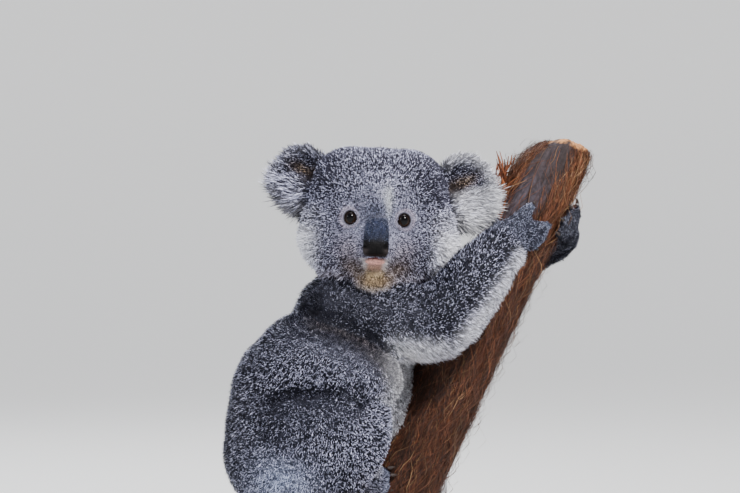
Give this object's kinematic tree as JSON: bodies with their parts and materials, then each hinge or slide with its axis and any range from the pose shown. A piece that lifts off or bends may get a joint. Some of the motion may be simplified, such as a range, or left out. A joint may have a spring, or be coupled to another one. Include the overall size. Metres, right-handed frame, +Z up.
{
  "type": "koala",
  "caption": "Life-size still model of a young koala hugging a leaning length of trunk, head turned sideways, on a flat display stand.",
  "frame": {"origin": "middle of the stand base's underside", "axes": "+Z up; +X from the koala's back towards the trunk it holds; +Y away from the side that its face looks to, so the face looks along -Y"},
  "size_m": [0.324, 0.26, 0.4198],
  "materials": {
    "coat_grey": "dense soft grey fur, dark and pale hairs mixed",
    "coat_pale": "paler fur of the ears, hands and feet",
    "nose_leather": "satin, finely grained",
    "eye": "wet gloss",
    "claw": "dark horn, semi-gloss",
    "bark": "rough, fibrous, red-brown bark over weathered wood",
    "stand_wood": "satin varnish",
    "stand_steel": "brushed"
  },
  "bodies": {
    "root": {"head": "coat_grey", "neck": "coat_grey", "trunk": "coat_grey", "upper_arm_right": "coat_grey", "forearm_right": "coat_grey", "upper_arm_left": "coat_grey", "forearm_left": "coat_grey", "thigh_right": "coat_grey", "shin_right": "coat_grey", "thigh_left": "coat_grey", "shin_left": "coat_grey", "ear_right": "coat_pale", "ear_left": "coat_pale", "hand_right": "coat_pale", "hand_left": "coat_pale", "foot_right": "coat_pale", "foot_left": "coat_pale", "nose": "nose_leather", "eye_right": "eye", "eye_left": "eye", "claw_hand_right_1": "claw", "claw_hand_right_2": "claw", "claw_hand_right_3": "claw", "claw_hand_right_4": "claw", "claw_hand_right_5": "claw", "claw_hand_left_1": "claw", "claw_hand_left_2": "claw", "claw_hand_left_3": "claw", "claw_hand_left_4": "claw", "claw_hand_left_5": "claw", "claw_foot_right_2": "claw", "claw_foot_right_3": "claw", "claw_foot_right_4": "claw", "claw_foot_right_5": "claw", "claw_foot_left_2": "claw", "claw_foot_left_3": "claw", "claw_foot_left_4": "claw", "claw_foot_left_5": "claw", "perch_trunk": "bark", "stand_base": "stand_wood", "stand_rod_1": "stand_steel", "stand_rod_2": "stand_steel"}
  },
  "joints": []
}
